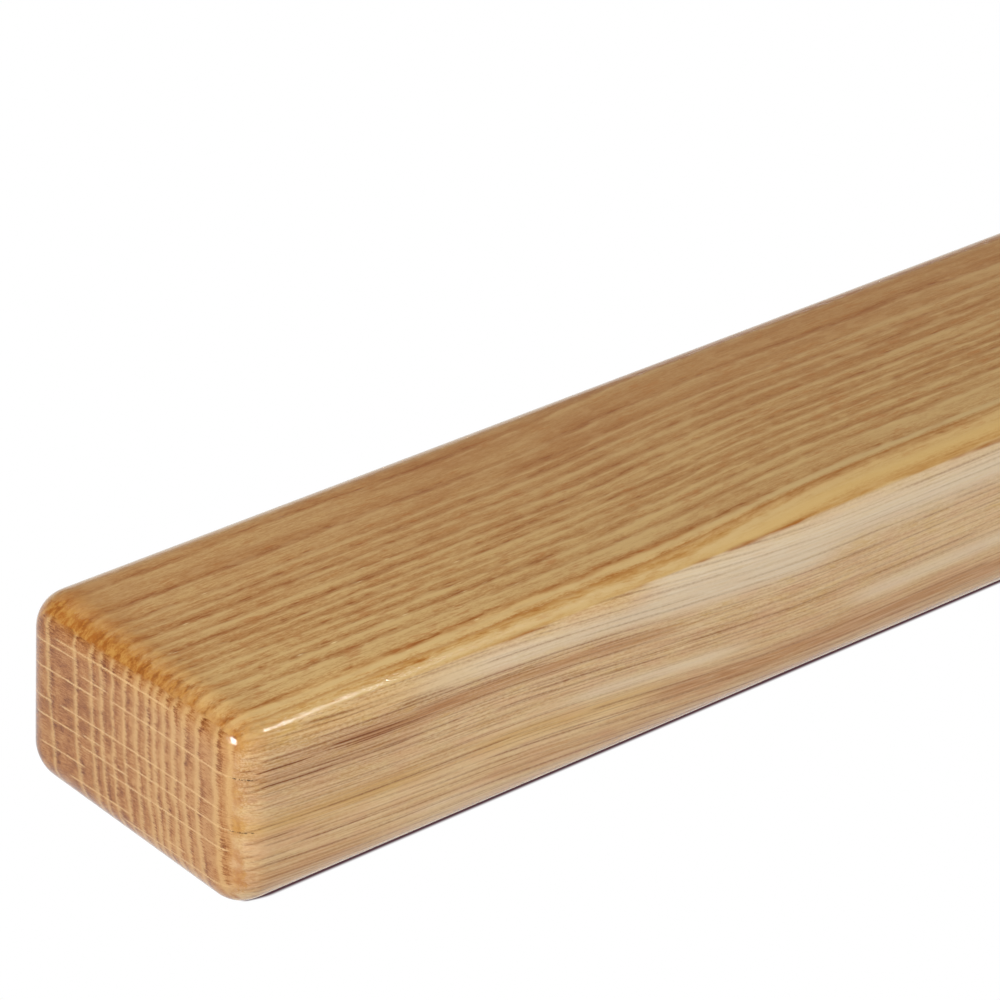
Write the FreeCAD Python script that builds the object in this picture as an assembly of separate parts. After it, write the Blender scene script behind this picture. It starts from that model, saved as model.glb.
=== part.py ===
import FreeCAD, Part
import math
import os

# A length of oak stair handrail, planed from one board: a rectangular section with rounded long edges,
# cut to length, with the edges of both ends rounded over.
# Frame: origin under the middle of the rail, +X along the grain, +Y across the width, +Z up.

# Driving dimensions, in millimetres
LENGTH = 1000.0
WIDTH = 65.0
HEIGHT = 40.0
EDGE_RADIUS = 8.0
END_RADIUS = 7.0
# The flat of each end keeps corners of at least this radius inside the round-over
END_CORNER_RADIUS = 0.2

PLANE_TOLERANCE = 0.001


def corner_arc(center_y, center_z, radius, start_angle):
    """Quarter circle of the section, turning anticlockwise from start_angle (degrees) seen along -X."""
    points = []
    for angle in (start_angle, start_angle + 45.0, start_angle + 90.0):
        turn = math.radians(angle)
        points.append(FreeCAD.Vector(0.0, center_y + radius * math.cos(turn), center_z + radius * math.sin(turn)))
    return Part.Arc(*points)


def rail_section():
    """Rounded rectangle standing on z = 0, as four corner arcs joined by four straight sides."""
    side = WIDTH / 2.0 - EDGE_RADIUS
    low = EDGE_RADIUS
    high = HEIGHT - EDGE_RADIUS
    arcs = [
        corner_arc(side, high, EDGE_RADIUS, 0.0),
        corner_arc(-side, high, EDGE_RADIUS, 90.0),
        corner_arc(-side, low, EDGE_RADIUS, 180.0),
        corner_arc(side, low, EDGE_RADIUS, 270.0),
    ]
    edges = []
    for arc, following in zip(arcs, arcs[1:] + arcs[:1]):
        edges.append(arc.toShape())
        edges.append(Part.LineSegment(arc.EndPoint, following.StartPoint).toShape())
    return Part.Face(Part.Wire(edges))


def end_edges(solid, x):
    """The closed loop of edges that lies in the plane of one end."""
    return [
        edge
        for edge in solid.Edges
        if abs(edge.BoundBox.XMin - x) < PLANE_TOLERANCE and abs(edge.BoundBox.XMax - x) < PLANE_TOLERANCE
    ]


def make_handrail():
    """The section run along the grain, with a round-over along the loop of edges at both ends."""
    half_length = LENGTH / 2.0
    profile = rail_section()
    profile.translate(FreeCAD.Vector(-half_length, 0.0, 0.0))
    rail = profile.extrude(FreeCAD.Vector(LENGTH, 0.0, 0.0))
    # A round-over can be no larger than the corner that it runs round
    end_radius = min(END_RADIUS, EDGE_RADIUS - END_CORNER_RADIUS)
    loops = end_edges(rail, -half_length) + end_edges(rail, half_length)
    return rail.makeFillet(end_radius, loops)


handrail = make_handrail()

os.makedirs("parts", exist_ok=True)
handrail.exportStep("parts/handrail.step")

box = handrail.BoundBox
print("handrail", round(box.XLength, 3), "x", round(box.YLength, 3), "x", round(box.ZLength, 3), "mm")
print("solids", len(handrail.Solids), "faces", len(handrail.Faces), "valid", handrail.isValid())
print("volume", round(handrail.Volume / 1000.0, 2), "cubic centimetres")
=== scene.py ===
# %% [markdown]
# # A length of oak stair handrail
# The object is one board of oak, planed to a rounded rectangular section, rounded over at both ends and
# varnished. This lesson loads its exact model, lays a finer skin over it, paints that skin as solid
# oak, and sets up a plain studio. Nearly all of the likeness is in the wood, so most of the cells are
# about how a tree is built.

import math
from types import SimpleNamespace

import bmesh
import bpy
import numpy as np
from mathutils import Matrix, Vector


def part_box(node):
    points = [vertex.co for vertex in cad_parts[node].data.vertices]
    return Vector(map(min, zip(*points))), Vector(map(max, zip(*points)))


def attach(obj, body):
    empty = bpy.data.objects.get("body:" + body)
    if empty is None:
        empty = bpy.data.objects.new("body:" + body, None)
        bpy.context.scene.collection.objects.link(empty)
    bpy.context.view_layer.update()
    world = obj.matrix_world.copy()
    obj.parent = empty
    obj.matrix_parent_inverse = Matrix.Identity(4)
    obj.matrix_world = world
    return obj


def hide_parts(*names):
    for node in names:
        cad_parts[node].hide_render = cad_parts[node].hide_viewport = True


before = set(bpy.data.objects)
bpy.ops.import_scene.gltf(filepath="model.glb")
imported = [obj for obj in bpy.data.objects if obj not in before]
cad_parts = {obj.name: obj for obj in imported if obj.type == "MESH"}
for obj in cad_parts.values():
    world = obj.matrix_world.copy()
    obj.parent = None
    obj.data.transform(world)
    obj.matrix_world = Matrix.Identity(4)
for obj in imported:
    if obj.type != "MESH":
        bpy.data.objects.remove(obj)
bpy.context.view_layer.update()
RAIL_LOW, RAIL_HIGH = (np.array(corner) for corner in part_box("handrail"))
LENGTH, WIDTH, HEIGHT = RAIL_HIGH - RAIL_LOW
print("rail", np.round((LENGTH, WIDTH, HEIGHT), 4), "metres")

# %% [markdown]
# ## The camera
# The picture was taken from the left of the near end, a little above it, with a long lens. The camera
# could be placed by eye, but a rail has straight edges, so its place was found by fitting those edges
# to the picture. The fit gives the direction of view, the focal length in pixels, and the pixel on
# which the sharp corner that the rounded edges hide would fall: the near end's lower corner on the near
# side.

# %% Camera
IMAGE_PIXELS = 1000
SENSOR = 36.0
VIEW_AZIMUTH = math.radians(-41.96)
VIEW_ELEVATION = math.radians(29.88)
VIEW_ROLL = math.radians(2.87)
FOCAL_PIXELS = 5793.0
CORNER_PIXEL = (236.25, 926.48)
CORNER_DEPTH = 1.0391


def view_axes(azimuth, elevation, roll):
    """Right, up and back of a camera: azimuth 0 looks along +Y, and roll turns right and up about back."""
    flat = math.cos(elevation)
    back = np.array([math.sin(azimuth) * flat, -math.cos(azimuth) * flat, math.sin(elevation)])
    level = np.array([math.cos(azimuth), math.sin(azimuth), 0.0])
    rise = np.cross(back, level)
    right = math.cos(roll) * level + math.sin(roll) * rise
    up = math.cos(roll) * rise - math.sin(roll) * level
    return right, up, back


def stand_object(name, data, right, up, back, place):
    """Add an object whose own axes point right, up and back, at the given place."""
    added = bpy.data.objects.new(name, data)
    columns = np.column_stack([right, up, back, place])
    added.matrix_world = Matrix(np.vstack([columns, (0, 0, 0, 1)]).tolist())
    bpy.context.collection.objects.link(added)
    return added


def add_camera():
    """Stand the camera so that the hidden corner falls on its pixel at its depth."""
    right, up, back = view_axes(VIEW_AZIMUTH, VIEW_ELEVATION, VIEW_ROLL)
    aside = (CORNER_PIXEL[0] - IMAGE_PIXELS / 2) / FOCAL_PIXELS * CORNER_DEPTH
    above = (IMAGE_PIXELS / 2 - CORNER_PIXEL[1]) / FOCAL_PIXELS * CORNER_DEPTH
    place = RAIL_LOW - aside * right - above * up + CORNER_DEPTH * back
    data = bpy.data.cameras.new("camera")
    data.sensor_width = SENSOR
    data.lens = FOCAL_PIXELS / IMAGE_PIXELS * SENSOR
    camera = stand_object("camera", data, right, up, back, place)
    bpy.context.scene.camera = camera
    return camera


camera = add_camera()
print("camera lens", round(camera.data.lens, 1), "mm")

# %% [markdown]
# ## The rail's section and its run
# On the real rail a planer cuts the section along the whole board, and a round-over cutter then runs
# round both ends. The mesh is made the same way, as a profile carried along a path: a loop of points
# round the section, and a row of stations along the rail, each with an inset that shrinks the section.
# At an end the inset grows through a quarter circle, which is the round-over, and then over the flat
# end until the loop closes on itself.

# %% Section loop and stations
MILLIMETRE = 0.001
EDGE_RADIUS = 8.0 * MILLIMETRE
END_RADIUS = 7.0 * MILLIMETRE
CORNER_STEPS = 12
TOP_STEPS = 64
SIDE_STEPS = 32
END_FLAT_STEPS = 13
END_ROUND_STEPS = 12
FINE_STEP = 1.0 * MILLIMETRE
FINE_REACH = 30.0 * MILLIMETRE
RUN_STEP = 3.6 * MILLIMETRE


def section_loop():
    """Walk once round the section: a core position and an outward direction for each point.

    A point is its core position times the half sizes of the core, plus the corner radius times its
    direction. Round a corner the core position stays and the direction turns by a quarter circle. Along
    a straight side the direction stays and the core position slides to the next corner.
    """
    corners = np.array([(1, 1), (-1, 1), (-1, -1), (1, -1)], float)
    cores, directions = [], []
    for turn, steps in enumerate((TOP_STEPS, SIDE_STEPS, TOP_STEPS, SIDE_STEPS)):
        corner, following = corners[turn], corners[(turn + 1) % 4]
        angle = (turn + np.linspace(0, 1, CORNER_STEPS + 1)) * math.pi / 2
        arc = np.stack([np.cos(angle), np.sin(angle)], axis=1)
        share = np.arange(1, steps)[:, None] / steps
        cores += [np.tile(corner, (CORNER_STEPS + 1, 1)), corner + share * (following - corner)]
        directions += [arc, np.tile(arc[-1], (steps - 1, 1))]
    return np.concatenate(cores), np.concatenate(directions)


def rail_stations():
    """Distance from the near end, inset of the section and lean towards the end, station by station.

    On the flat end the inset runs from half the height to the round-over, and the lean is 1. On the
    round-over, at an angle a, the distance is radius (1 - cos a), the inset radius (1 - sin a) and the
    lean cos a. On the run inset and lean are 0. The far half is the near half turned round.
    """
    flat = np.linspace(HEIGHT / 2, END_RADIUS, END_FLAT_STEPS, endpoint=False)
    angle = np.linspace(0, math.pi / 2, END_ROUND_STEPS + 1)
    fine = np.arange(END_RADIUS + FINE_STEP, FINE_REACH, FINE_STEP)
    half_run = np.linspace(FINE_REACH, LENGTH / 2, round((LENGTH / 2 - FINE_REACH) / RUN_STEP))
    run = np.concatenate([fine, half_run])
    distance = np.concatenate([0 * flat, END_RADIUS * (1 - np.cos(angle)), run])
    inset = np.concatenate([flat, END_RADIUS * (1 - np.sin(angle)), 0 * run])
    lean = np.concatenate([1 + 0 * flat, np.cos(angle), 0 * run])
    distance = np.concatenate([distance, LENGTH - distance[-2::-1]])
    return distance, np.concatenate([inset, inset[-2::-1]]), np.concatenate([lean, -lean[-2::-1]])


def carry_section(distance, inset, core, direction):
    """Place every loop point at every station: half sizes and corner radius both shrink by the inset."""
    radius = np.maximum(EDGE_RADIUS - inset, 0)[:, None, None]
    half = (np.array([WIDTH, HEIGHT]) / 2 - inset[:, None])[:, None, :]
    across_up = core[None] * (half - radius) + radius * direction[None]
    along = np.broadcast_to(distance[:, None], across_up.shape[:2])
    middle = (RAIL_LOW + RAIL_HIGH) / 2
    places = (along + RAIL_LOW[0], across_up[..., 0] + middle[1], across_up[..., 1] + middle[2])
    return np.stack(places, axis=-1)


core, direction = section_loop()
distance, inset, lean = rail_stations()
surface = carry_section(distance, inset, core, direction)
print("stations", len(distance), "loop points", len(core), "triangles about", 2 * len(distance) * len(core))

# %% [markdown]
# ## Where each point lies in the tree
# Oak shows three directions at once: along the trunk, outwards across the growth rings, and round the
# trunk from one ray to the next. If every point of the mesh knows its place in those three directions,
# one pattern gives the end grain, the striped upper face and the streaked side together. The pith lies
# off the near side, so the rings stand almost upright in the section. Further along the rail the rings
# drift a little towards the far side, and the rays on the near side fall, which is the gentle slope of
# the lines there.

# %% Grain coordinates
RING_LEVEL = 30.0
RING_RADIUS = 105.0
DRIFT_START, DRIFT_END, DRIFT = 92.0, 160.0, 3.2
SLOW_WAVE_START, SLOW_WAVE_END = 200.0, 320.0
RING_WAVE, RING_WAVE_LENGTH = 2.2, 430.0
RING_HOOK, RING_HOOK_REACH = 1.2, 5.0
RING_HOOK_LOW, RING_HOOK_HIGH = 32.0, 37.0
NEAR_FALL, NEAR_FALL_REACH = 3.7, 42.0
FAR_FALL, FAR_FALL_START, FAR_FALL_END = 6.0, 52.0, 150.0
RAY_WAVE, RAY_WAVE_LENGTH = 2.6, 540.0
RAY_RISE, RAY_BEND = 0.08, 0.0006


def ease(value, low, high):
    """0 below low, 1 above high, and 3 t t - 2 t t t between them."""
    share = np.clip((value - low) / (high - low), 0, 1)
    return share * share * (3 - 2 * share)


def grain_places(points):
    """Millimetres along the trunk, outwards across the rings and round the trunk, for each point.

    Rings are circles about the pith, so away from their level they lean by level squared over twice the
    radius. Round the upper edge of the near end they bend to the far side, by a bell curve of the
    distance from the end. Rays fall along the rail, at first as a hyperbolic tangent and then on an eased
    slope, and across it they rise on a shallow parabola. Further on both get a slow sine wave.
    """
    along = (points[..., 0] - RAIL_LOW[0]) / MILLIMETRE
    far = (RAIL_HIGH[1] - points[..., 1]) / MILLIMETRE
    up = (points[..., 2] - RAIL_LOW[2]) / MILLIMETRE
    beyond = ease(along, SLOW_WAVE_START, SLOW_WAVE_END)
    drift = DRIFT * ease(along, DRIFT_START, DRIFT_END)
    drift = drift + beyond * RING_WAVE * np.sin(2 * math.pi * along / RING_WAVE_LENGTH)
    hook = RING_HOOK * np.exp(-((along / RING_HOOK_REACH) ** 2)) * ease(up, RING_HOOK_LOW, RING_HOOK_HIGH)
    ring = far - (RING_LEVEL - up) ** 2 / (2 * RING_RADIUS) + drift + hook
    fall = NEAR_FALL * np.tanh(along / NEAR_FALL_REACH)
    fall = fall + FAR_FALL * ease(along, FAR_FALL_START, FAR_FALL_END)
    fall = fall + beyond * RAY_WAVE * np.sin(2 * math.pi * along / RAY_WAVE_LENGTH)
    ray = up + fall - (RAY_RISE * far - RAY_BEND * far**2)
    return along, ring, ray


along, ring, ray = grain_places(surface)
print("ring place from", round(ring.min(), 1), "to", round(ring.max(), 1), "mm")

# %% [markdown]
# ## Growth rings
# Each spring an oak grows a row of wide pores. On the end grain these rows are the pale upright lines,
# and on the upper face they are the rows of dark dashes. Good and bad years differ, so the rows aren't
# evenly spaced: their places are read off the end of the rail, in millimetres from the far side. The
# rows count up across the board, and the gap between neighbours says how far apart they are. They also
# sink a few hundredths of a millimetre below the hard summer wood when the rail is sanded, so the mesh
# gets shallow furrows there.

# %% Ring rows and their furrows
RING_ROWS = np.array(
    [-7.0, 0.5, 8.5, 16.5, 21.5, 24.4, 27.7, 31.5, 34.8, 37.9]
    + [40.2, 42.9, 45.8, 48.8, 52.3, 58.0, 61.2, 65.5, 72.0]
)
FURROW_DEPTH = 0.06 * MILLIMETRE
FURROW_WIDTH = 0.6

row_count = np.interp(ring, RING_ROWS, np.arange(len(RING_ROWS)))
row_gap = np.interp(ring, (RING_ROWS[1:] + RING_ROWS[:-1]) / 2, np.diff(RING_ROWS))
row_distance = (row_count - np.round(row_count)) * row_gap
furrow = FURROW_DEPTH * np.exp(-((row_distance / FURROW_WIDTH) ** 2)) * (1 - np.abs(lean[:, None]))
facing_out = np.concatenate(
    [
        np.broadcast_to(-lean[:, None, None], (*ring.shape, 1)),
        np.sqrt(1 - lean**2)[:, None, None] * direction[None],
    ],
    axis=-1,
)
surface = surface - furrow[..., None] * facing_out
print("furrows up to", round(furrow.max() / MILLIMETRE, 3), "mm deep")

# %% [markdown]
# ## Streaks of the near side
# The near side is cut along the rings, so it shows broad bands instead of stripes: a reddish one that
# starts near the end, a cream one above it that widens along the rail, golden and reddish ones below. A
# noise pattern could make such bands, but not these ones in these places. So each is listed:
# where it starts and stops along the grain, how high it lies between the rays, how thick it is, and how
# strong.

# %% Listed streaks
RED, CREAM, GOLD = 0, 1, 2
STREAK_FADE = 14.0
NEAR_SIDE_FACING = (0.3, 0.8)
STREAKS = [
    # tint, start, stop, ray level, half thickness, strength
    (RED, 18.0, 112.0, 29.3, 1.4, 0.8),
    (RED, -20.0, 60.0, 29.6, 2.0, 0.4),
    (RED, -20.0, 50.0, 26.0, 2.1, 0.55),
    (GOLD, -20.0, 62.0, 34.4, 2.2, 0.5),
    (GOLD, -20.0, 52.0, 16.6, 1.8, 0.9),
    (GOLD, 48.0, 108.0, 16.8, 1.8, 0.9),
    (CREAM, 34.0, 150.0, 34.6, 2.3, 0.9),
    (CREAM, 90.0, 330.0, 39.5, 4.2, 1.0),
    (CREAM, 72.0, 128.0, 20.4, 1.4, 0.7),
    (CREAM, 145.0, 330.0, 21.5, 1.8, 0.7),
    (RED, 92.0, 330.0, 15.4, 2.4, 0.9),
    (RED, -20.0, 38.0, 6.2, 2.6, 0.45),
    (RED, 50.0, 155.0, 10.4, 1.8, 0.45),
    (CREAM, 34.0, 68.0, 8.3, 0.8, 0.5),
]


def streak_tints(along, ray):
    """Strength of each tint: a streak fades at its two ends and, as a bell curve, away from its level."""
    tints = np.zeros((*along.shape, 3))
    for tint, start, stop, level, thickness, strength in STREAKS:
        reach = ease(along, start, start + STREAK_FADE) * (1 - ease(along, stop - STREAK_FADE, stop))
        tints[..., tint] += strength * reach * np.exp(-(((ray - level) / thickness) ** 2))
    return np.clip(tints, 0, 1)


near_side = ease(-direction[:, 0], *NEAR_SIDE_FACING)
tints = streak_tints(along, ray) * near_side[None, :, None]
print("streaks", len(STREAKS))

# %% [markdown]
# ## The mesh
# The grid becomes quads between neighbouring stations and loop points. The loop closes on itself, and
# at each end the last station has shrunk to a line, so coincident points are merged there. What the
# wood pattern needs to know rides on the points as attributes, which the material reads.

# %% Build the rail's skin
MERGE_DISTANCE = 0.001 * MILLIMETRE


def grid_quads(stations, loop):
    """Corner numbers of the quads of a grid whose second direction closes on itself."""
    number = np.arange(stations * loop).reshape(stations, loop)
    turned = np.roll(number, -1, axis=1)
    return np.stack([number[:-1], number[1:], turned[1:], turned[:-1]], axis=-1).reshape(-1, 4)


def point_attribute(mesh, name, values):
    """Store one number or one triple per point."""
    kind, key = ("FLOAT_VECTOR", "vector") if values.shape[-1:] == (3,) else ("FLOAT", "value")
    mesh.attributes.new(name, kind, "POINT").data.foreach_set(key, values.astype(np.float32).ravel())


def build_rail():
    """Turn the grid into one closed, smooth object that rides with the model and stands for its node."""
    mesh = bpy.data.meshes.new("oak_rail")
    mesh.from_pydata(surface.reshape(-1, 3), [], grid_quads(*surface.shape[:2]))
    facing = np.broadcast_to(direction[None], (*ring.shape, 2))
    point_attribute(mesh, "grain", np.stack([along, ring, ray], axis=-1))
    point_attribute(mesh, "facing", np.concatenate([np.abs(facing_out[..., :1]), facing], axis=-1))
    point_attribute(mesh, "tints", tints)
    point_attribute(mesh, "row_count", row_count)
    point_attribute(mesh, "row_gap", row_gap)
    shell = bmesh.new()
    shell.from_mesh(mesh)
    bmesh.ops.remove_doubles(shell, verts=shell.verts, dist=MERGE_DISTANCE)
    bmesh.ops.recalc_face_normals(shell, faces=shell.faces)
    shell.to_mesh(mesh)
    shell.free()
    mesh.polygons.foreach_set("use_smooth", np.ones(len(mesh.polygons), bool))
    rail = bpy.data.objects.new("oak_rail", mesh)
    bpy.context.collection.objects.link(rail)
    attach(rail, "root")
    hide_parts("handrail")
    return rail


rail = build_rail()
print("skin", len(rail.data.vertices), "points", len(rail.data.polygons), "faces")

# %% [markdown]
# ## Writing a shader as arithmetic
# A wood shader has dozens of small sums. Wired by hand they are hard to read, so a small class wraps a
# socket: an expression such as `1 - rows * strength` then adds the Math nodes itself. Every other node
# comes from its one `node` method.

# %% Shader values
MIX_FIRST, MIX_SECOND, MIX_RESULT = 6, 7, 2


class Value:
    """A shader socket that stands in an expression: the operators add their Math nodes to its tree."""

    def __init__(self, tree, socket):
        self.tree = tree
        self.socket = socket

    def node(self, kind, settings=None, sockets=None):
        """Add a node: its settings first, then its socket values or links. Gives its outputs."""
        added = self.tree.nodes.new("ShaderNode" + kind)
        for name, setting in (settings or {}).items():
            setattr(added, name, setting)
        for key, value in (sockets or {}).items():
            if isinstance(value, Value):
                self.tree.links.new(value.socket, added.inputs[key])
            else:
                added.inputs[key].default_value = value
        return [Value(self.tree, socket) for socket in added.outputs]

    def math(self, operation, *others):
        """Add one Math node whose first value is this one."""
        return self.node("Math", {"operation": operation}, dict(enumerate((self, *others))))[0]

    def __add__(self, other):
        return self.math("ADD", other)

    def __sub__(self, other):
        return self.math("SUBTRACT", other)

    def __mul__(self, other):
        return self.math("MULTIPLY", other)

    def __truediv__(self, other):
        return self.math("DIVIDE", other)

    def __rsub__(self, other):
        return (self * -1.0) + other

    def __rtruediv__(self, other):
        return self.math("POWER", -1.0) * other

    def __abs__(self):
        return self.math("ABSOLUTE")

    __radd__ = __add__
    __rmul__ = __mul__

    def at_least(self, other):
        """The larger of the two values."""
        return self.math("MAXIMUM", other)

    def at_most(self, other):
        """The smaller of the two values."""
        return self.math("MINIMUM", other)

    def parts(self):
        """The three numbers of a vector."""
        return self.node("SeparateXYZ", None, {0: self})[:3]

    def bell(self, width):
        """Bell curve: e to the minus of (value over width) squared."""
        share = self / width
        return (share * share * -1.0).math("EXPONENT")

    def step(self, low, high):
        """0 below low, 1 above high, smooth between."""
        settings = {"interpolation_type": "SMOOTHSTEP"}
        return self.node("MapRange", settings, {0: self, 1: low, 2: high, 3: 0.0, 4: 1.0})[0]


def blend(factor, first, second):
    """Colour that goes from first to second as the factor goes from 0 to 1."""
    settings = {"data_type": "RGBA"}
    return factor.node("Mix", settings, {0: factor, MIX_FIRST: first, MIX_SECOND: second})[MIX_RESULT]


def paint(red, green, blue):
    """Linear colour of an sRGB colour written as 0 to 255 per channel: a straight start, then a power."""
    share = np.array([red, green, blue]) / 255
    linear = np.where(share <= 0.04045, share / 12.92, ((share + 0.055) / 1.055) ** 2.4)
    return (*linear.tolist(), 1.0)


def empty_tree(owner):
    """Clear the nodes of a material or a world, and give a Value through which its tree is written."""
    owner.use_nodes = True
    owner.node_tree.nodes.clear()
    return Value(owner.node_tree, None)


print("shader arithmetic ready")

# %% [markdown]
# ## Noise and dashes in the grain
# All fine detail in wood is drawn out along the trunk. Ordinary noise becomes grain when its space is
# squeezed: one unit of noise is many millimetres along and a fraction of one across. Pores and glints
# are separate marks, so they come from a cell pattern, squeezed the same way, with one dash round each
# cell's own point.

# %% Grain noise
NOISE_ROUGHNESS = 0.55


def vector_math(operation, first, second):
    """One Vector Math node on two vectors."""
    return first.node("VectorMath", {"operation": operation}, {0: first, 1: second})[0]


def squeeze(vector, size, shift):
    """Grain place counted in steps of the given size along, across the rings and round the trunk."""
    scaled = vector_math("MULTIPLY", vector, tuple(1.0 / step for step in size))
    return vector_math("ADD", scaled, (shift, shift, shift))


def grain_noise(grain, size, detail, shift):
    """Noise from 0 to 1 whose patches have the given size in millimetres."""
    place = squeeze(grain, size, shift)
    sockets = {"Vector": place, "Scale": 1.0, "Detail": detail, "Roughness": NOISE_ROUGHNESS}
    return grain.node("TexNoise", {"noise_dimensions": "3D"}, sockets)[0]


def grain_dashes(grain, cell, half, shift):
    """Dashes of the given half sizes, one a cell: a bell curve of the offset from the cell's own point.

    With them comes a number from 0 to 1 that is each cell's own.
    """
    place = squeeze(grain, cell, shift)
    sockets = {"Vector": place, "Scale": 1.0, "Randomness": 1.0}
    colour, centre = grain.node("TexVoronoi", {"feature": "F1"}, sockets)[1:3]
    offset = vector_math("SUBTRACT", place, centre)
    spread = vector_math("MULTIPLY", offset, tuple(step / reach for step, reach in zip(cell, half)))
    length = spread.node("VectorMath", {"operation": "LENGTH"}, {0: spread})[1]
    chance = colour.node("SeparateColor", None, {0: colour})[0]
    return length.bell(1.0), chance


print("grain noise ready")

# %% [markdown]
# ## Rows of spring pores
# The rows of spring pores show on the upper face and on the end alike. In the mesh they run smoothly,
# but a real ring wanders, so the shader moves each point a little across the rings before it asks for
# the nearest row. Three noises of different length do that. A row is sharp on the side of the year
# before and fades into the summer wood of its own year.

# %% Ring and pore rows
RING_WANDERS = [
    # size of the noise, its shift, and how far it moves the rings
    ((34.0, 7.0, 6.0), 0.0, 1.5),
    ((14.0, 3.0, 9.0), 13.0, 1.6),
    ((6.0, 1.1, 0.8), 5.0, 0.7),
]
WANDER_DETAIL = 2.0
SPRING_FADE, SPRING_EDGE = 1.0, 0.75


def read_grain(start):
    """The attributes of the mesh as shader values: three vectors, then two numbers."""
    vectors = [start.node("Attribute", {"attribute_name": name})[1] for name in ("grain", "facing", "tints")]
    numbers = [start.node("Attribute", {"attribute_name": name})[2] for name in ("row_count", "row_gap")]
    return (*vectors, *numbers)


def ring_rows(grain, row_count, row_gap):
    """Signed millimetres to the nearest pore row, as it wanders, and a number from 0 to 1 for that row."""
    broad, middle, fine = (
        (grain_noise(grain, size, WANDER_DETAIL, shift) - 0.5) * reach for size, shift, reach in RING_WANDERS
    )
    counted = row_count + (broad + middle + fine) / row_gap + 0.5
    offset = (counted.math("FRACT") - 0.5) * row_gap
    chance = counted.node("TexWhiteNoise", {"noise_dimensions": "1D"}, {1: counted.math("FLOOR")})[0]
    return offset, chance


def spring_wood(offset):
    """1 on the pore row: a bell curve, wider towards its own summer wood than towards the year before."""
    outward = offset.at_most(0.0) / SPRING_FADE
    inward = offset.at_least(0.0) / SPRING_EDGE
    return ((outward * outward + inward * inward) * -1.0).math("EXPONENT")


print("ring rows", len(RING_ROWS), "moved by", len(RING_WANDERS), "noises")

# %% [markdown]
# ## Hairlines of the near side
# Where the side cuts through the rays and the pores of a single year, it shows fine dark lines, about a
# millimetre apart. Most of them are alike, so they are counted out: the height is divided into gaps,
# with one line in each, and every line gets a strength of its own and breaks here and there. The
# strongest ones are listed, as the streaks were. Close to the end the round-over cuts deeper, and
# the lines hook downwards.

# %% Side lines
LINE_WANDER = 1.2
COUNTED_WANDER_SIZE, LAID_WANDER_SIZE, LAID_WANDER_SHIFT = (70.0, 9.0, 7.0), (30.0, 9.0, 7.0), 91.0
LINE_BREAK_SIZE, LINE_BREAK_SHIFT, LINE_BREAKS = (24.0, 5.0, 0.9), 9.0, (0.38, 0.56)
LINE_FAINTEST = 0.25
# gap, half thickness and shift of the counted lines
COARSE_LINES, CLOSE_LINES, CROWDED_LINES = (1.4, 0.24, 7.0), (0.75, 0.14, 53.0), (1.1, 0.2, 31.0)
CLOSE_STRENGTH, CROWDED_STRENGTH = 0.5, 2.0
LINE_HOOK, LINE_HOOK_REACH = 1.4, 7.0
LINE_END_FADE = 0.3
LINE_BEGIN, LINE_BEGIN_STRENGTH = (0.0, 8.0), 0.4
LINE_CALM, LINE_CALMED = (60.0, 140.0), 0.3
CROWD_END, CROWD_LEVEL, CROWD_REACH = (50.0, 28.0), 27.8, 5.0
SIDE_LINES = [
    # start, stop, ray level, half thickness, strength
    (12.0, 52.0, 28.7, 0.28, 0.9),
    (36.0, 110.0, 28.2, 0.26, 0.7),
    (21.0, 43.0, 25.0, 0.30, 0.8),
    (-6.0, 36.0, 26.3, 0.28, 0.6),
    (4.0, 38.0, 34.4, 0.24, 0.6),
    (57.0, 79.0, 24.2, 0.34, 0.7),
    (83.0, 107.0, 23.9, 0.36, 0.8),
    (52.0, 145.0, 14.3, 0.36, 0.7),
    (24.0, 112.0, 19.4, 0.24, 0.6),
    (34.0, 52.0, 32.8, 0.42, 0.8),
    (92.0, 123.0, 37.9, 0.46, 0.7),
    (60.0, 76.0, 37.6, 0.34, 0.6),
    (10.0, 80.0, 11.8, 0.24, 0.6),
    (0.0, 45.0, 20.6, 0.22, 0.5),
    (42.0, 135.0, 26.1, 0.22, 0.5),
    (26.0, 104.0, 31.2, 0.22, 0.5),
    (108.0, 155.0, 17.9, 0.46, 0.6),
    (124.0, 170.0, 13.0, 0.34, 0.5),
    (-4.0, 25.0, 14.4, 0.22, 0.5),
    (10.0, 104.0, 10.1, 0.22, 0.4),
]


def counted_lines(grain, ray, gap, thickness, shift):
    """Hairlines one gap apart that wander and break along the grain, each with a strength of its own."""
    wander = (grain_noise(grain, COUNTED_WANDER_SIZE, 1.0, shift) - 0.5) * LINE_WANDER
    counted = (ray + wander) / gap + 0.5
    offset = (counted.math("FRACT") - 0.5) * gap
    number = counted.math("FLOOR") + shift
    chance = number.node("TexWhiteNoise", {"noise_dimensions": "1D"}, {1: number})[0]
    strength = chance * (1.0 - LINE_FAINTEST) + LINE_FAINTEST
    unbroken = grain_noise(grain, LINE_BREAK_SIZE, 1.0, shift + LINE_BREAK_SHIFT).step(*LINE_BREAKS)
    return offset.bell(thickness) * strength * unbroken


def laid_lines(grain, along, ray):
    """The listed lines: each fades at its two ends and away from its level, which wanders a little."""
    wander = (grain_noise(grain, LAID_WANDER_SIZE, 2.0, LAID_WANDER_SHIFT) - 0.5) * LINE_WANDER
    marks = along * 0.0
    for start, stop, level, thickness, strength in SIDE_LINES:
        fade = LINE_END_FADE * (stop - start)
        aside = abs(ray + (wander - level)).step(thickness, 0.0)
        reach = along.step(start, start + fade) * along.step(stop, stop - fade)
        marks = marks.at_least(aside * reach * strength)
    return marks


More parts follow.
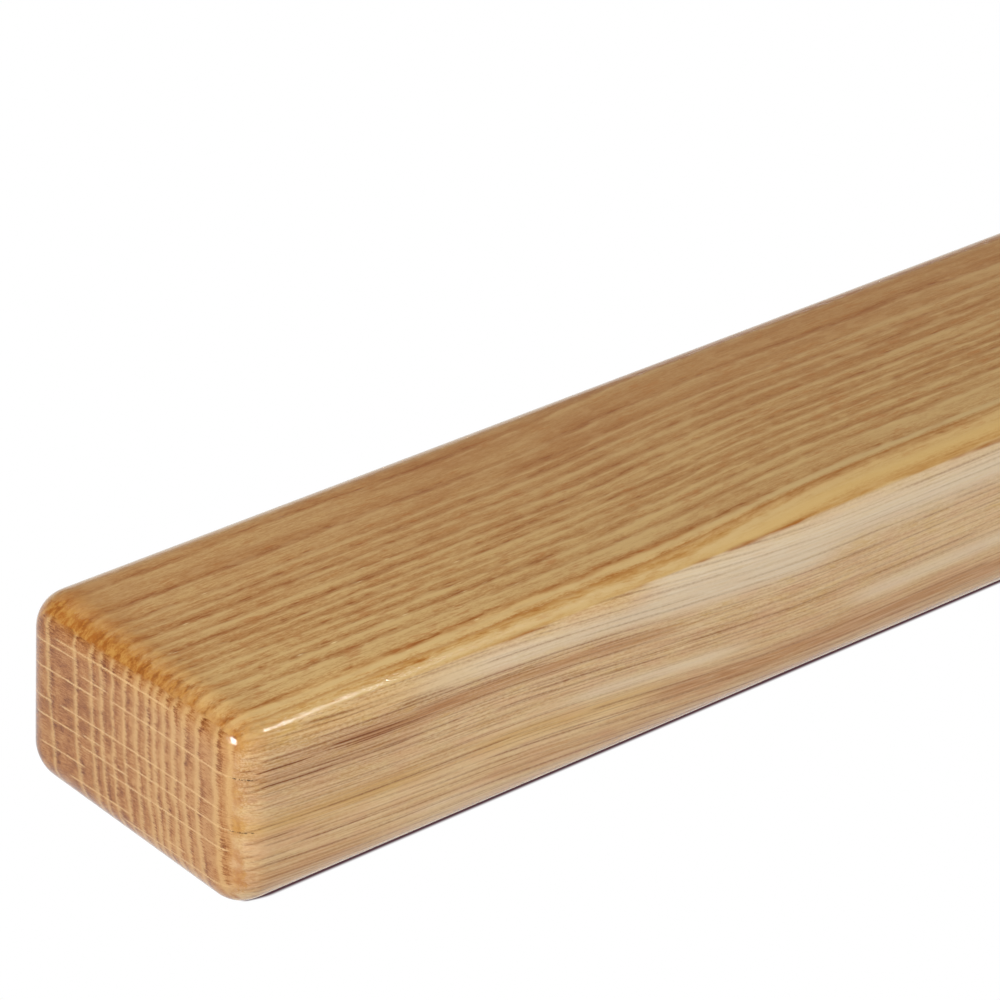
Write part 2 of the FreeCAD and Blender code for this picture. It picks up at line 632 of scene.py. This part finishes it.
def side_lines(grain, along, ray):
    """All the lines of the near side, hooked down at the near end."""
    hooked = ray + along.step(LINE_HOOK_REACH, 0.0) * LINE_HOOK
    coarse = counted_lines(grain, hooked, *COARSE_LINES)
    close = counted_lines(grain, hooked, *CLOSE_LINES) * CLOSE_STRENGTH
    crowded = counted_lines(grain, hooked, *CROWDED_LINES) * along.step(*CROWD_END)
    crowded = crowded * (hooked - CROWD_LEVEL).bell(CROWD_REACH) * CROWDED_STRENGTH
    lines = coarse.at_least(close).at_least(crowded).at_least(laid_lines(grain, along, hooked))
    begun = along.step(*LINE_BEGIN) * (1.0 - LINE_BEGIN_STRENGTH) + LINE_BEGIN_STRENGTH
    return lines * (1.0 - along.step(*LINE_CALM) * LINE_CALMED) * begun


print("side lines laid by hand", len(SIDE_LINES))

# %% [markdown]
# ## Rays on the end grain
# Rays are thin sheets that run from the pith outwards. Across the end they are pale, almost level
# hairlines, each over part of the width only. There are few enough to list them one by one, at the height
# they have in the tree. Two of them have opened a little round the corner to the near side, as short
# dark cracks.

# %% End rays and cracks
RAY_THICKNESS = 0.3
RAY_END_FADE = 2.0
CRACK_LEVELS = (26.9, 15.7)
CRACK_THICKNESS = 0.14
CRACK_BEGIN, CRACK_STOP = (0.5, 1.2), (4.8, 3.6)
CRACK_FACING, CRACK_DOTS = (-0.6, -0.9), (-0.1, 0.05)
END_RAYS = [
    # first and last millimetre from the far side, and ray level
    (10.0, 46.0, 32.9),
    (3.0, 17.5, 31.1),
    (17.5, 27.0, 28.3),
    (26.5, 64.0, 27.0),
    (3.0, 24.0, 25.6),
    (11.0, 60.0, 19.4),
    (1.0, 10.0, 19.1),
    (17.5, 25.0, 16.0),
    (30.0, 64.0, 15.7),
    (2.5, 19.0, 15.4),
    (16.5, 32.0, 13.4),
    (25.0, 61.0, 11.3),
    (3.5, 19.0, 9.4),
    (12.0, 32.0, 5.6),
    (41.0, 48.5, 5.3),
    (28.0, 64.0, 3.5),
]


def end_rays(ring, ray):
    """1 on a ray: within its thickness of its level, and between its first and last millimetre."""
    marks = ring * 0.0
    for first, last, level in END_RAYS:
        aside = abs(ray - level).step(RAY_THICKNESS, 0.0)
        reach = (last - first) / 2
        middle = (last + first) / 2
        share = abs(ring - middle).step(reach, reach - RAY_END_FADE)
        marks = marks.at_least(aside * share)
    return marks


def cracks(along, across, ray, speckle):
    """Dotted cracks on the near side, from half a millimetre to five from the end."""
    reach = along.step(*CRACK_BEGIN) * along.step(*CRACK_STOP)
    reach = reach * across.step(*CRACK_FACING) * speckle.step(*CRACK_DOTS)
    upper, lower = ((ray - level).bell(CRACK_THICKNESS) for level in CRACK_LEVELS)
    return (upper + lower) * reach


print("end rays", len(END_RAYS))

# %% [markdown]
# ## Colours of oak
# Each face has three tones, which a single value runs through: pale, middle and dark. The rest are the
# colours of single marks. All are written as they look in daylight.

# %% Paints
TOP_PALE, TOP_MID, TOP_DARK = paint(220, 182, 119), paint(191, 139, 79), paint(156, 91, 32)
TOP_DEEP = paint(140, 92, 58)
SIDE_PALE, SIDE_MID, SIDE_DARK = paint(222, 192, 144), paint(197, 153, 98), paint(134, 80, 36)
END_PALE, END_MID, END_DARK = paint(192, 142, 88), paint(168, 109, 56), paint(118, 60, 18)
ROW_STRAW, RAY_STRAW = paint(206, 163, 106), paint(222, 182, 126)
STREAK_RED, STREAK_CREAM, STREAK_GOLD = paint(176, 119, 66), paint(226, 207, 176), paint(206, 162, 86)
SIDE_LINE, SIDE_PINK, CRACK = paint(124, 64, 8), paint(212, 164, 124), paint(62, 38, 18)
FLECK_ORANGE, FAR_PINK, GLINT = paint(186, 114, 54), paint(184, 128, 84), paint(250, 224, 164)
EDGE_PALE, EDGE_GOLD, EDGE_LINE = paint(212, 180, 124), paint(196, 150, 84), paint(164, 100, 34)
EDGE_BRIGHT = paint(212, 176, 112)
SOAKED, SOAKED_PALE, SOAKED_ROW = paint(166, 96, 26), paint(194, 140, 66), paint(116, 58, 14)
TO_MIDDLE, TO_DARK = (-0.1, 0.6), (0.4, 1.1)


def three_tones(tone, pale, middle, dark):
    """Colour that goes from pale at 0 through middle at a half to dark at 1."""
    return blend(tone.step(*TO_DARK), blend(tone.step(*TO_MIDDLE), pale, middle), dark)


print("tone runs to middle over", TO_MIDDLE, "and to dark over", TO_DARK)

# %% [markdown]
# ## Marks that the faces share
# The same pores and fibres run through the whole board, and each face only cuts them another way. Every
# face could have patterns of its own, but then they wouldn't meet at the edges. So the marks are worked
# out once, each as noise or dashes as long and as wide as the mark is in oak, and are handed on under
# their names. Shares run from 0 to 1 and swings about 0. In the sums below, the number beside a mark is
# how much of it goes in.

# %% Shared marks
SHARES = {
    # size of the noise along, across the rings and round the trunk, its detail and its shift
    "patches": ((18.0, 2.6, 3.0), 2.0, 11.0),
    "dashes": ((3.6, 0.55, 0.55), 1.0, 29.0),
    "mottle": ((7.0, 2.6, 2.6), 2.0, 47.0),
}
SWINGS = {
    # the same, for marks that swing about 0
    "speckle": ((0.9, 0.28, 0.28), 1.0, 71.0),
    "fibre": ((14.0, 0.42, 0.36), 2.0, 17.0),
    "streak": ((80.0, 3.6, 2.4), 2.0, 23.0),
    "flecks": ((2.5, 1.8, 0.24), 2.0, 31.0),
    "clouds": ((9.0, 4.0, 3.4), 2.0, 37.0),
    "blots": ((1.6, 1.0, 1.6), 2.0, 61.0),
}
DASH_LIMITS = (0.42, 0.6)
ROW_RAGGED = 0.7
PORE_CELL, PORE_HALF, PORE_SHIFT = (4.6, 0.9, 0.9), (1.2, 0.26, 0.4), 3.0
PORE_CHANCE = (0.3, 0.8)
FAR_PART, NEAR_PART = (55.0, 8.0), (22.0, 58.0)
AWAY = (30.0, 120.0)
RISE_RAGGED = 0.06


def shared_marks(start):
    """All that more than one face reads: the place in the tree, the facing, the tints and the marks."""
    grain, facing, tints, row_count, row_gap = read_grain(start)
    shares = {name: grain_noise(grain, *rule) for name, rule in SHARES.items()}
    swings = {name: grain_noise(grain, *rule) - 0.5 for name, rule in SWINGS.items()}
    oak = SimpleNamespace(grain=grain, **shares, **swings)
    oak.along, oak.ring, oak.ray = grain.parts()
    oak.end_share, oak.across, oak.upward = facing.parts()
    oak.red, oak.cream, oak.gold = tints.parts()
    oak.dashes = oak.dashes.step(*DASH_LIMITS)
    oak.offset, oak.row_chance = ring_rows(grain, row_count, row_gap)
    oak.rows = spring_wood(oak.offset + oak.speckle * ROW_RAGGED)
    pores, chance = grain_dashes(grain, PORE_CELL, PORE_HALF, PORE_SHIFT)
    oak.pores = pores * chance.step(*PORE_CHANCE) * oak.rows
    # the far part of the board: there the upper face and the end are made darker, and the upper face a little
    # pink
    oak.far_shade, oak.near_part = oak.ring.step(*FAR_PART), oak.ring.step(*NEAR_PART)
    oak.away = oak.along.step(*AWAY)
    oak.rise = abs(oak.upward) + oak.fibre * RISE_RAGGED
    return oak


print("shared marks", *SHARES, *SWINGS)

# %% [markdown]
# ## Upper face
# This face cuts across the rings, so every year is a stripe: a thread of dark pores, a soft band beside
# it, and a pale ridge of summer wood. The threads break up into dashes and are strong in some patches
# only. Towards the far side the face is darker and a little pink, and further along the rail the marks
# grow fainter. Near the end, varnish in the open pores glints in tiny bright dashes. Those are painted,
# because a bump as fine as that would vanish between the samples.

# %% Upper face
THREAD_WIDTH, THREAD_PATCHES, BAND_WIDTH = 0.34, (0.34, 0.66), 1.8
HAIR_LEAST, HAIR_FADE = 0.1, (0.0, 0.14)
RIDGE_PLACE, RIDGE_WIDTH, RIDGE_PATCHES = 1.3, 0.5, (0.35, 0.65)
PALE_FLECKS, ORANGE_FLECKS = (0.54, 0.7), (0.46, 0.3)
GLINT_CELL, GLINT_HALF, GLINT_SHIFT = (4.4, 1.2, 1.2), (0.6, 0.13, 0.3), 83.0
GLINT_CHANCE, GLINT_PATCHES = (0.25, 0.45), (0.44, 0.58)
GLINT_PLACE, GLINT_WIDTH = 0.45, 0.45
GLINT_ALONG, GLINT_ACROSS = (130.0, 25.0), (10.0, 36.0)


def top_darkness(oak):
    """How dark the upper face is: the sum of its threads, pores, hairs, dashes and bands, less its ridges."""
    thinned = oak.patches.step(*THREAD_PATCHES) * (oak.row_chance * 0.6 + 0.4) * (1.0 - oak.far_shade * 0.2)
    threads = oak.offset.bell(THREAD_WIDTH) * (oak.dashes * 0.8 + 0.2) * thinned
    bands = oak.rows.at_least(oak.offset.bell(BAND_WIDTH) * oak.far_shade)
    bands = bands * (oak.row_chance * 0.5 + 0.5) * (oak.patches * 1.2 + 0.2)
    hairs = (oak.fibre - HAIR_LEAST).step(*HAIR_FADE)
    ridges = (oak.offset - RIDGE_PLACE).bell(RIDGE_WIDTH) * (oak.mottle.step(*RIDGE_PATCHES) * 0.3 + 0.1)
    marks = threads * 0.46 + oak.pores * 0.5 + hairs * 0.12 + oak.dashes * 0.12
    marks = marks + oak.fibre * 0.5 + oak.speckle * 0.6
    tone = marks * (1.0 - oak.away * 0.4) + bands * 0.36 - ridges
    return tone + oak.streak * (0.8 + oak.away * 0.3) + oak.far_shade * 0.12 + (oak.away * 0.05 + 0.12)


def top_glints(oak):
    """Short dashes beside the pore rows, in some patches, that fade along the rail and to the far side."""
    glints, chance = grain_dashes(oak.grain, GLINT_CELL, GLINT_HALF, GLINT_SHIFT)
    glints = glints * chance.step(*GLINT_CHANCE) * oak.patches.step(*GLINT_PATCHES)
    glints = glints * ((oak.offset - GLINT_PLACE).bell(GLINT_WIDTH) * 1.4 + 0.1)
    return glints * oak.along.step(*GLINT_ALONG) * oak.ring.step(*GLINT_ACROSS)


def top_colour(oak, tone):
    """The three tones of the upper face, deeper further along, with flecks, a pink far part and glints."""
    top = three_tones(tone, TOP_PALE, TOP_MID, TOP_DARK)
    top = blend(oak.away * 0.12, top, TOP_DEEP)
    top = blend(oak.mottle.step(*PALE_FLECKS) * 0.36, top, TOP_PALE)
    top = blend(oak.mottle.step(*ORANGE_FLECKS) * oak.dashes * 0.4, top, FLECK_ORANGE)
    top = blend(oak.far_shade * oak.mottle * 0.5, top, FAR_PINK)
    return blend(top_glints(oak), top, GLINT)


print("upper face: a stripe every", round(float(np.diff(RING_ROWS).mean()), 1), "mm or so")

# %% [markdown]
# ## Near side
# This face runs along the rings, so it has no stripes. Its look comes from the listed streaks and
# hairlines over a ground of fibre. The streaks let the fibre show through, and the hairlines come last,
# because they lie on top of everything and are broken up by the speckle.

# %% Near side
LINES_ROUND_END = (0.85, 0.6)
HIGH_PART = (16.0, 30.0)
DEEP_START = (34.0, 8.0)
PINK_PATCHES, GOLD_DASHES = (0.35, 0.7), (0.52, 0.3)


def side_colour(oak):
    """The three tones of the near side, then pink patches, gold dashes, the three tints and the lines."""
    lines = side_lines(oak.grain, oak.along, oak.ray) * oak.end_share.step(*LINES_ROUND_END)
    high = oak.ray.step(*HIGH_PART)
    tone = oak.fibre * 0.9 + oak.streak * 0.9 + oak.speckle * (high * (0.8 - oak.away * 0.5) + 0.4)
    tone = tone + oak.along.step(*DEEP_START) * 0.08 + 0.18
    side = three_tones(tone, SIDE_PALE, SIDE_MID, SIDE_DARK)
    side = blend(oak.mottle.step(*PINK_PATCHES) * oak.patches * 0.7, side, SIDE_PINK)
    side = blend(oak.dashes * oak.mottle.step(*GOLD_DASHES) * high * 0.5, side, STREAK_GOLD)
    side = blend(oak.cream * (0.75 + oak.fibre * 0.9), side, STREAK_CREAM)
    side = blend(oak.gold * (0.6 + oak.fibre * 0.6), side, STREAK_GOLD)
    side = blend(oak.red * (0.75 + oak.fibre * 1.3), side, STREAK_RED)
    return blend(lines * (0.74 + high * 0.2 + oak.speckle * 0.8 - oak.cream * 0.4), side, SIDE_LINE)


print("near side: streaks", len(STREAKS), "and lines", len(SIDE_LINES))

# %% [markdown]
# ## The edge between them
# On the rounded edge the stripes of the upper face spread out, because the surface turns along the
# rings there. The photograph shows a golden strip with a pale ridge, a dark thread and a bright ridge
# in it, which reaches lower on the side further along the rail. It starts where the surface has turned
# up far enough, and the three rings are laid by their places, as on the end.

# %% Edge strip
EDGE_TURN, EDGE_DROP, EDGE_DROP_ALONG = 0.66, 0.1, (15.0, 70.0)
STRIP_START, STRIP_STOP, STRIP_SHARE = (-0.04, 0.02), (0.97, 0.84), 0.8
# place across the rings and width
PALE_RIDGE, BRIGHT_RIDGE, DARK_THREAD = (59.3, 0.55), (64.4, 1.1), (60.6, 0.3)
FACE_CHANGE = (-0.03, 0.03)
EDGE_LINE_WIDTH, EDGE_LINE_ALONG, EDGE_LINE_PATCHES = 0.04, (30.0, 90.0), (0.36, 0.62)


def edge_strip(oak):
    """How far the surface has turned past the upper limit of the side, and 1 on the strip above that."""
    over_side = oak.rise + (oak.along.step(*EDGE_DROP_ALONG) * EDGE_DROP - EDGE_TURN)
    return over_side, over_side.step(*STRIP_START) * oak.rise.step(*STRIP_STOP)


def long_faces(oak, over_side, strip):
    """The upper face with its edge strip and laid rings, above the near side, and a broken line between."""
    tone = top_darkness(oak)
    golden = three_tones(tone + oak.fibre * 0.4, EDGE_PALE, EDGE_GOLD, EDGE_LINE)
    upper = blend(strip * STRIP_SHARE, top_colour(oak, tone), golden)
    laid = oak.ring + (oak.fibre * 0.8 + oak.speckle * 0.5)
    laid_rings = (
        (PALE_RIDGE, 0.6, EDGE_PALE),
        (BRIGHT_RIDGE, 0.8, EDGE_BRIGHT),
        (DARK_THREAD, oak.patches * 0.8 + 0.2, EDGE_LINE),
    )
    for (place, width), share, colour in laid_rings:
        upper = blend((laid - place).bell(width) * share, upper, colour)
    faces = blend(over_side.step(*FACE_CHANGE), side_colour(oak), upper)
    line = over_side.bell(EDGE_LINE_WIDTH) * oak.along.step(*EDGE_LINE_ALONG)
    return blend(line * oak.patches.step(*EDGE_LINE_PATCHES), faces, EDGE_LINE)


print("edge strip: rings laid from", PALE_RIDGE[0], "to", BRIGHT_RIDGE[0], "mm")

# %% [markdown]
# ## End grain
# On the long faces the pore rows are dark. On the end they are cut straight across and dry, so there
# the same rows are pale, on redder wood. They are ragged, because each is made of single pores, and
# they grow wider and paler towards the near side. The rays cross them as straw-coloured hairlines.

# %% End grain
LATE_WOOD_PLACE, LATE_WOOD_WIDTH, LATE_WOOD_STOP = 1.1, 0.7, (64.0, 59.0)
PALE_ROW_WIDTH, PALE_ROW_WIDER, PALE_ROW_MOST = 0.54, 0.12, 0.88


def end_colour(oak):
    """The three tones of the end, darker beside each row, with the pale rows and then the rays over them."""
    late_wood = (oak.offset - LATE_WOOD_PLACE).bell(LATE_WOOD_WIDTH)
    late_wood = late_wood * (oak.patches + oak.near_part * 0.3) * oak.ring.step(*LATE_WOOD_STOP)
    tone = oak.flecks * (oak.near_part * 0.5 + 1.6) + oak.speckle * 0.9 + oak.clouds * 1.4
    tone = tone + late_wood * 0.4 + oak.far_shade * 0.34 + 0.2
    end_wood = three_tones(tone, END_PALE, END_MID, END_DARK)
    ragged = oak.offset + oak.flecks * 1.6 + oak.speckle * 0.8
    pale_rows = ragged.bell(oak.near_part * PALE_ROW_WIDER + PALE_ROW_WIDTH)
    pale_rows = pale_rows * (oak.near_part * 0.25 + 0.9 - oak.flecks * 1.8 - oak.clouds)
    end_wood = blend(pale_rows.at_most(PALE_ROW_MOST) * (0.94 + oak.speckle * 1.1), end_wood, ROW_STRAW)
    rays = end_rays(oak.ring, oak.ray + (oak.fibre * 0.5 + oak.speckle * 0.4))
    return blend(rays * (0.8 + oak.clouds + oak.speckle * 1.2), end_wood, RAY_STRAW)


print("end grain: rays", len(END_RAYS))

# %% [markdown]
# ## Varnish soaked in round the end
# Round the upper edge of the end the cutter opened the pores, and varnish soaked into them and turned
# the wood orange, darkest in the pore rows. Down the near edge it did so in places. How far the surface
# leans to the end says where the soaked band starts and where the bare end begins, and the marks make
# both limits ragged. On the upper face the band has a thin tail.

# %% Soaked varnish
END_RAGGED = 0.12
TOPMOST, FAR_CORNER, NEAREST = (0.2, 0.8), 0.5, (-0.2, -0.9)
SOAK_START, SOAK_NEAR_START = (0.3, 0.7), (0.6, 0.8)
SOAK_TAIL, SOAK_TAIL_SHARE = (14.0, 1.0), 0.54
SOAK_THINNER, SOAK_NEAR_CORNER = (34.0, 54.0), (58.0, 63.0)
SOAKED_ROW_WIDTH, SOAKED_ROW_BREAKS = 0.8, (-0.06, 0.12)
BARE_LEAN, BARE_FADE = 0.4, (0.0, 0.08)


def soaked_colour(oak, topmost):
    """Blotched orange, with dark broken pore rows along the upper edge."""
    blotched = oak.blots * 3.2 + oak.clouds + (oak.speckle * 1.4 + 0.45) - oak.rows * 0.3
    dark_rows = oak.offset.bell(SOAKED_ROW_WIDTH) * (oak.blots * -1.0).step(*SOAKED_ROW_BREAKS) * topmost
    soaked = blend(blotched, SOAKED, SOAKED_PALE)
    return blend(dark_rows * (oak.near_part * 0.5 + 0.35), soaked, SOAKED_ROW)


def round_the_end(oak, long_face):
    """From the long faces over the soaked band to the bare end grain, with the cracks over all of it."""
    end_edge = oak.end_share + oak.flecks * END_RAGGED
    reach = end_edge + oak.rows * 0.1 + oak.clouds * 0.3 + oak.speckle * 0.3
    topmost = (oak.upward + oak.across.at_least(0.0) * FAR_CORNER).step(*TOPMOST)
    nearest = oak.across.step(*NEAREST) * (1.0 - topmost)
    thick = topmost * (0.95 - oak.ring.step(*SOAK_THINNER) * 0.45 + oak.ring.step(*SOAK_NEAR_CORNER) * 0.4)
    tail = oak.along.step(*SOAK_TAIL) * SOAK_TAIL_SHARE
    soak = reach.step(*SOAK_START).at_least(tail) * thick
    soak = soak + reach.step(*SOAK_NEAR_START) * nearest * (oak.clouds * 2.0 + 0.4)
    wood = blend(soak, long_face, soaked_colour(oak, topmost))
    bare = BARE_LEAN + (topmost + nearest).at_most(1.0) * (0.4 - topmost * oak.near_part * 0.08)
    wood = blend((end_edge - bare).step(*BARE_FADE), wood, end_colour(oak))
    return blend(cracks(oak.along, oak.across, oak.ray, oak.speckle), wood, CRACK)


print("soaked varnish: tail of", SOAK_TAIL[0], "mm")

# %% [markdown]
# ## Varnished oak
# The varnish is clear and thin, so it follows the pores and fibres under it. Their relief, a few
# hundredths of a millimetre, goes into a bump, with a little more along the near edge, where it breaks
# up the highlight. One glossy shader does for wood and varnish together, because nothing shows the one
# without the other.

# %% Varnished oak
ROW_SUNK, PORE_SUNK, DASH_SUNK, FIBRE_RAISED = -0.015, -0.05, 0.012, 0.008
STRIP_CALM = 0.3
SPARKLE_RISE, SPARKLE_ALONG, SPARKLE_HEIGHT = (0.4, 0.6), (10.0, 36.0), 0.022
VARNISH_ROUGHNESS, VARNISH_SPECULAR = 0.14, 0.35


def oak_height(oak, strip):
    """Relief in millimetres: rows, pores and dashes sunk, fibre raised, and speckle on the rounded edge."""
    relief = oak.rows * ROW_SUNK + oak.pores * PORE_SUNK - oak.dashes * DASH_SUNK + oak.fibre * FIBRE_RAISED
    sparkle = oak.speckle * oak.rise.step(*SPARKLE_RISE) * oak.rise.step(*STRIP_STOP)
    sparkle = sparkle * oak.along.step(*SPARKLE_ALONG)
    return relief * (1.0 - strip * STRIP_CALM) + sparkle * SPARKLE_HEIGHT


def make_oak():
    """Varnished oak, from the attributes of the skin."""
    material = bpy.data.materials.new("varnished_oak")
    start = empty_tree(material)
    oak = shared_marks(start)
    over_side, strip = edge_strip(oak)
    wood = round_the_end(oak, long_faces(oak, over_side, strip))
    height = oak_height(oak, strip)
    bump = height.node("Bump", None, {"Strength": 1.0, "Distance": MILLIMETRE, "Height": height})[0]
    sockets = {"Base Color": wood, "Normal": bump}
    sockets.update({"Roughness": VARNISH_ROUGHNESS, "Specular IOR Level": VARNISH_SPECULAR})
    shader = start.node("BsdfPrincipled", None, sockets)[0]
    shader.node("OutputMaterial", None, {0: shader})
    return material


rail.data.materials.append(make_oak())
print("oak nodes", len(rail.data.materials[0].node_tree.nodes))

# %% [markdown]
# ## Table and backdrop
# The picture is a bright product shot: a white table that runs into a white backdrop. A lit table would
# have to be overexposed to come out as white, and the rail with it. So the table glows white for the
# camera and in reflections, and is plain pale paint for all other light. Where the rail touches it, a
# dark line of shadow is painted into that glow, worked out from how little sky a point beside the rail
# can see. Above the backdrop the room is dim, so the upper face keeps its depth of colour and only the
# far edge mirrors the white.

# %% Table and backdrop
WHITE = (1.0, 1.0, 1.0, 1.0)
CAMERA_RAY, GLOSSY_RAY, TRANSMISSION_RAY = 0, 3, 6
SKY_DIRECTION, OBJECT_PLACE = 0, 3
FLOOR_SIZE = 8.0
FLOOR_BOUNCE = (0.75, 0.75, 0.76, 1.0)
# colour of the painted shadow in the gap where the rail stands on the table
CREVICE_SHADOW = paint(84, 56, 62)
CREVICE_OPEN = (0.15, 0.22)
CREVICE_TURN = (0.8, 1.0)
CREVICE_START = (0.0, 12.0 * MILLIMETRE)
CREVICE_LEAST_GAP = MILLIMETRE / 10
CREVICE_LEAST_SHARE = 0.001
SKY_LIGHT = 0.35
ROOM_GLOSS = 0.3
BACKDROP_TOP = (0.0, 0.15)


def crevice_shadow(start):
    """Painted shadow of the gap beside the rail: how little sky a point of the table sees past the edge.

    At a distance d from the flat that the rail stands on, the edge's radius hides an angle of twice the
    arc tangent of radius over d. What is left open counts as (1 - cos open) / 2 of the sky. The gap
    fades out round the corner to the end, which the main lamp looks under. Towards both ends it tapers:
    the sky is divided by a share that falls from 1 to almost nothing at the end.
    """
    along, across = start.node("TexCoord")[OBJECT_PLACE].parts()[:2]
    past_end = (abs(along) - (LENGTH / 2 - END_RADIUS)).at_least(0.0)
    past_side = (abs(across) - (WIDTH / 2 - EDGE_RADIUS)).at_least(CREVICE_LEAST_GAP)
    gap = (past_end * past_end + past_side * past_side).math("SQRT")
    hidden = (EDGE_RADIUS / gap).math("ARCTANGENT") * 2.0
    sky = (1.0 + hidden.math("COSINE")) * 0.5
    begun = (LENGTH / 2 - abs(along)).step(*CREVICE_START) + CREVICE_LEAST_SHARE
    return (sky / begun).step(CREVICE_OPEN[1], CREVICE_OPEN[0]) * (past_side / gap).step(*CREVICE_TURN)


def add_floor():
    """A flat square under the rail, white to the camera and in reflections."""
    half = FLOOR_SIZE / 2
    corners = np.array([(-half, -half), (half, -half), (half, half), (-half, half)])
    mesh = bpy.data.meshes.new("floor")
    mesh.from_pydata(np.column_stack([corners, np.full(4, RAIL_LOW[2])]), [], [(0, 1, 2, 3)])
    floor = bpy.data.objects.new("floor", mesh)
    bpy.context.collection.objects.link(floor)
    material = bpy.data.materials.new("white_table")
    start = empty_tree(material)
    path = start.node("LightPath")
    seen = path[CAMERA_RAY].at_least(path[GLOSSY_RAY]).at_least(path[TRANSMISSION_RAY])
    # the painted shadow darkens the table's white glow in the gap beside the rail
    glow = blend(crevice_shadow(start), WHITE, CREVICE_SHADOW)
    white = start.node("Emission", None, {"Color": glow, "Strength": 1.0})[0]
    bounce = start.node("BsdfDiffuse", None, {"Color": FLOOR_BOUNCE})[0]
    shader = seen.node("MixShader", None, {0: seen, 1: bounce, 2: white})[0]
    shader.node("OutputMaterial", None, {0: shader})
    mesh.materials.append(material)


def add_sky():
    """White to the camera, a white backdrop below a dim room in reflections, a soft light for the rest."""
    world = bpy.data.worlds.new("white_room")
    start = empty_tree(world)
    path = start.node("LightPath")
    height = start.node("TexCoord")[SKY_DIRECTION].parts()[2]
    mirrored = ROOM_GLOSS + height.step(BACKDROP_TOP[1], BACKDROP_TOP[0]) * (1.0 - ROOM_GLOSS)
    seen, glossy = path[CAMERA_RAY].at_least(path[TRANSMISSION_RAY]), path[GLOSSY_RAY]
    strength = seen + (1.0 - seen) * (glossy * mirrored + (1.0 - glossy) * SKY_LIGHT)
    shader = start.node("Background", None, {"Color": WHITE, "Strength": strength})[0]
    shader.node("OutputWorld", None, {0: shader})
    bpy.context.scene.world = world


add_floor()
add_sky()
print("table", FLOOR_SIZE, "metres wide, sky light", SKY_LIGHT)

# %% [markdown]
# ## Lamps
# A soft main lamp on the left lights the near end more than the rest, and a small spot beside it glints
# in the near corner. Soft lamps fill in from the front, over the far half and behind the far end. On
# the right, a narrow lamp draws a bright line along the near upper edge, and a fainter one beside it
# carries that on. The varnish would mirror the soft lamps as large patches, so only the small ones can
# be seen in it.

# %% Lamps
FULL_BEAM, NARROW_BEAM = 180.0, 50.0
FAR_LAMP_PLACE = 0.85 * LENGTH
SOFT = {"mirrored": False}
SOFT_FAR = {**SOFT, "beam": NARROW_BEAM, "from_end": FAR_LAMP_PLACE}
LAMPS = [
    # name, direction from the point it faces, distance, size along and across, watts, and what is special
    ("lamp_main", (-0.87, -0.16, 0.47), 1.0, (0.2, 0.2), 6.5, SOFT),
    ("lamp_spot", (-0.86, -0.25, 0.455), 0.3, (0.06, 0.06), 0.7, {"shed": False}),
    ("lamp_fill", (-0.1, -0.87, 0.48), 0.9, (0.6, 0.6), 2.6, SOFT),
    ("lamp_back", (0.75, 0.66, 0.02), 2.0, (0.6, 0.06), 14.0, SOFT),
    ("lamp_far", (0.0, -0.6, 0.8), 1.3, (0.4, 0.4), 0.55, SOFT_FAR),
    ("lamp_edge", (0.508, -0.54, 0.656), 1.6, (0.02, 0.1), 1.8, {}),
    ("lamp_edge_tail", (0.555, -0.54, 0.656), 1.6, (0.1, 0.1), 0.25, {}),
]


def add_lamp(name, towards, distance, size, power, mirrored=True, shed=True, beam=FULL_BEAM, from_end=0.0):
    """A lamp in the given direction from a point of the upper face, and facing that point.

    The point lies so many metres from the near end. A lamp that isn't mirrored leaves no highlight in
    the varnish, as behind a wide diffuser. One that isn't shed leaves its highlight and lights nothing
    else. The beam is its width in degrees.
    """
    target = np.array([RAIL_LOW[0] + from_end, 0.0, RAIL_HIGH[2]])
    aim = np.array(towards) / np.linalg.norm(towards)
    level = np.array([1.0, 0.0, 0.0]) - aim[0] * aim
    level = level / np.linalg.norm(level)
    data = bpy.data.lights.new(name, "AREA")
    data.shape = "RECTANGLE"
    data.size, data.size_y = size
    data.energy = power
    data.spread = math.radians(beam)
    lamp = stand_object(name, data, level, np.cross(aim, level), aim, target + distance * aim)
    lamp.visible_glossy = mirrored
    lamp.visible_diffuse = shed


for *lamp_rule, special in LAMPS:
    add_lamp(*lamp_rule, **special)
bpy.context.scene.view_settings.view_transform = "Standard"
print("lamps", len(LAMPS))
